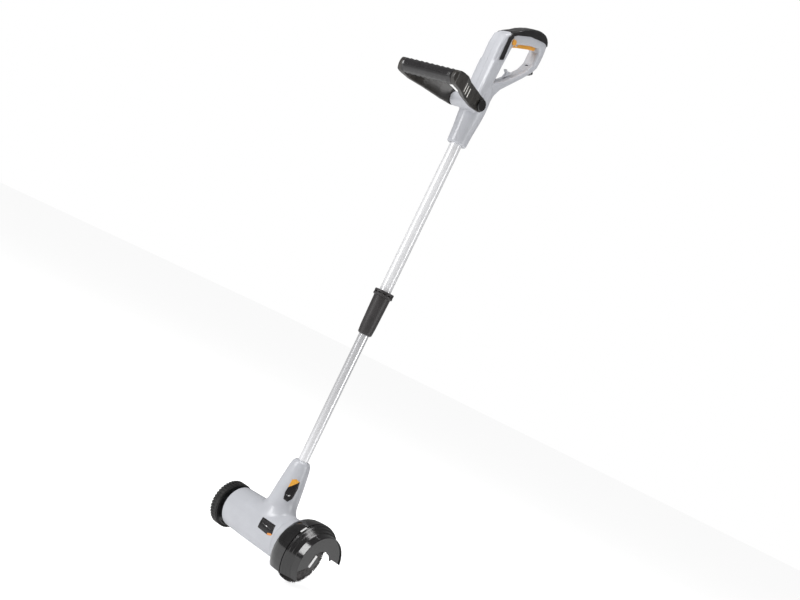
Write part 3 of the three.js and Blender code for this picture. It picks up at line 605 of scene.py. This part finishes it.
film = {"black": (0.012, 0.011, 0.012), "thickness": 0.0003, "strips": 15}


def sliceFlat(work, point, normal):
    everything = work.verts[:] + work.edges[:] + work.faces[:]
    bmesh.ops.bisect_plane(work, geom=everything, plane_co=(*point, 0), plane_no=(*normal, 0))


def panel(name, outline, colours, place, body):
    # A printed film: its outline sliced into a fine grid, then laid on the surface by place
    work = bmesh.new()
    work.faces.new([work.verts.new((x, y, 0)) for x, y in outline])
    for axis, normal in ((0, (1, 0)), (1, (0, 1))):
        values = [p[axis] for p in outline]
        span = max(values) - min(values)
        for i in range(1, film["strips"]):
            at = min(values) + span * i / film["strips"]
            sliceFlat(work, (at * normal[0], at * normal[1]), normal)
    for polygon, _ in colours:
        for a, b in zip(polygon, polygon[1:] + polygon[:1]):
            sliceFlat(work, a, (a[1] - b[1], b[0] - a[0]))
    bmesh.ops.triangulate(work, faces=work.faces)
    tint = work.loops.layers.float_color.new("tint")
    for face in work.faces:
        middle = face.calc_center_median()
        shade = (*film["black"], 1)
        for polygon, colour in colours:
            if inside(polygon, middle):
                shade = (*colour, 1)
        for loop in face.loops:
            loop[tint] = shade
    for vert in work.verts:
        vert.co = place(vert.co.x, vert.co.y)
    bmesh.ops.recalc_face_normals(work, faces=work.faces)
    mesh = bpy.data.meshes.new(name)
    work.to_mesh(mesh)
    work.free()
    mesh = viaModifiers(mesh, ("SOLIDIFY", {"thickness": film["thickness"], "offset": 1.0}))
    mesh.shade_smooth()
    return asPiece(name, mesh, "panel", body)


drumPanel = {"radius": 0.0474, "orange": (0.80, 0.30, 0.06), "mark": (0.75, 0.75, 0.75),
             "faint": (0.16, 0.16, 0.16)}


def onDrum(x, y):
    # x in mm along the drum, y in degrees up from its front
    t = math.radians(y)
    r = drumPanel["radius"]
    return Vector((x / 1000, -r * math.cos(t), r * math.sin(t)))


panel("drumPanel", [(5, 26.5), (46, 26.5), (52, 3), (50, -1), (41, -4), (8, -1.5)],
      [([(52.2, 3.4), (52.2, -5), (38, -5), (39, 1), (46, 3.4)], drumPanel["orange"]),
       ([(25, 11.5), (30, 11.5), (30, 13.5), (25, 13.5)], drumPanel["mark"]),
       ([(13, 13.6), (23, 12.2), (23, 13.0), (13, 14.4)], drumPanel["faint"]),
       ([(32, 11.6), (42, 10.2), (42, 11.0), (32, 12.4)], drumPanel["faint"])], onDrum, "head")

# The line holds the neck's (height, radius) in mm
neckPanel = {"lift": 0.0003, "orange": (0.86, 0.42, 0.06), "mark": (0.75, 0.75, 0.75),
             "faint": (0.35, 0.35, 0.35),
             "line": [(52, 33.0), (75, 31.0), (95, 28.8), (115, 26.2), (130, 24.2), (142, 22.2)]}


def onNeck(x, y):
    # x in degrees round from the front towards the guard, y in mm up the neck
    line = neckPanel["line"]
    for (z1, r1), (z2, r2) in zip(line, line[1:]):
        if z1 <= y <= z2:
            radius = (r1 + (r2 - r1) * (y - z1) / (z2 - z1)) / 1000 + neckPanel["lift"]
    t = math.radians(x)
    return Vector((radius * math.sin(t), -radius * math.cos(t), y / 1000))


panel("neckPanel",
      [(33, 115), (50, 119), (71, 116), (75, 102), (68, 79), (54, 70), (36, 72), (30, 86), (32, 98)],
      [([(31, 97), (33, 115), (50, 119), (71, 116.5)], neckPanel["orange"]),
       ([(46, 80.5), (54, 82.5), (54, 84.5), (46, 82.5)], neckPanel["mark"]),
       ([(38, 81), (44, 82), (44, 83), (38, 82)], neckPanel["faint"])], onNeck, "head")

# A thin pale grey film laid along the guard's seam: a painted highlight, standing for a glint on the seam
guardClip = {"radius": 0.0753, "colour": (0.70, 0.70, 0.70)}
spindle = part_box("brush_hub")
spindleHeight = (spindle[0].z + spindle[1].z) / 2


def onGuard(x, y):
    # x in mm along the spindle, y in degrees from the top of the guard towards its front
    t = math.radians(y)
    r = guardClip["radius"]
    return Vector((x / 1000, -r * math.sin(t), spindleHeight + r * math.cos(t)))


# Painted highlight: this pale patch on the seam paints a glint in
panel("guardClip", [(122.4, 37), (126.6, 37), (126.6, 49), (122.4, 49)],
      [([(122, 36), (127, 36), (127, 50), (122, 50)], guardClip["colour"])], onGuard, "head")
print("panels made")

studio = {"backdrop": 1.0, "surround": 0.19, "floorGlow": 0.30, "floorShown": 0.78, "floorSize": 60,
          "floorDrop": 0.0015}


def floorFinish():
    material, nodes, links = newMaterial("paleFloor")
    shader = nodes["Principled BSDF"]
    shader.inputs["Roughness"].default_value = 0.8
    patch = noiseNode(nodes, links, 3, 3)
    tone = mixed(nodes, links, patch, (0.90, 0.90, 0.90), (0.92, 0.92, 0.92))
    links.new(tone, shader.inputs["Base Color"])
    shader.inputs["Emission Color"].default_value = (1, 1, 1, 1)
    # The camera sees a paler floor than the one that lights the object from below
    seen = nodes.new("ShaderNodeLightPath")
    glow = nodes.new("ShaderNodeMapRange")
    glow.inputs["To Min"].default_value = studio["floorGlow"]
    glow.inputs["To Max"].default_value = studio["floorShown"]
    links.new(seen.outputs["Is Camera Ray"], glow.inputs["Value"])
    links.new(glow.outputs["Result"], shader.inputs["Emission Strength"])
    return material


bpy.ops.mesh.primitive_plane_add(size=studio["floorSize"],
                                 location=(0, 0, cadBox[0][2] - studio["floorDrop"]))
floor = bpy.context.object
floor.name = "floor"
floor.data.materials.append(floorFinish())

scene = bpy.context.scene
world = bpy.data.worlds.new("studio")
scene.world = world
world.use_nodes = True
skyNodes, skyLinks = world.node_tree.nodes, world.node_tree.links
sky = skyNodes["Background"]
sky.inputs["Color"].default_value = (1, 1, 1, 1)
sky.inputs["Strength"].default_value = studio["surround"]
backdrop = skyNodes.new("ShaderNodeBackground")
backdrop.inputs["Color"].default_value = (1, 1, 1, 1)
backdrop.inputs["Strength"].default_value = studio["backdrop"]
path = skyNodes.new("ShaderNodeLightPath")
choose = skyNodes.new("ShaderNodeMixShader")
skyLinks.new(path.outputs["Is Camera Ray"], choose.inputs[0])
skyLinks.new(sky.outputs[0], choose.inputs[1])
skyLinks.new(backdrop.outputs[0], choose.inputs[2])
skyLinks.new(choose.outputs[0], skyNodes["World Output"].inputs["Surface"])
scene.view_settings.view_transform = "Standard"


def softLight(name, place, target, size, power):
    lamp = bpy.data.lights.new(name, "AREA")
    lamp.shape = "RECTANGLE"
    lamp.size, lamp.size_y = size
    lamp.energy = power
    thing = bpy.data.objects.new(name, lamp)
    thing.location = place
    thing.rotation_euler = (Vector(target) - Vector(place)).to_track_quat("-Z", "Y").to_euler()
    scene.collection.objects.link(thing)


# place, target, size, power
lights = {"keyLight": ((-0.9, -2.2, 1.5), (0, 0, 0.35), (0.7, 1.8), 42),
          "topLight": ((0.3, -0.4, 3.2), (0, 0, 0.3), (1.6, 1.6), 44),
          "sideLight": ((2.4, 0.8, 1.0), (0, 0, 0.5), (0.5, 1.8), 19)}
for name, settings in lights.items():
    softLight(name, *settings)

# The camera's own axes in the frame: to its right, up, and back from the object
shot = {"lens": 51.9, "sensor": 36, "place": (1.58874, -1.85251, 0.44265),
        "right": (0.70454, 0.56133, 0.43421), "up": (-0.30882, -0.30838, 0.89974),
        "back": (0.63895, -0.76799, -0.04391)}
lens = bpy.data.cameras.new("camera")
lens.lens = shot["lens"]
lens.sensor_width = shot["sensor"]
camera = bpy.data.objects.new("camera", lens)
view = Matrix((shot["right"], shot["up"], shot["back"])).transposed().to_4x4()
view.translation = Vector(shot["place"])
camera.matrix_world = view
scene.collection.objects.link(camera)
scene.camera = camera
print("scene ready")
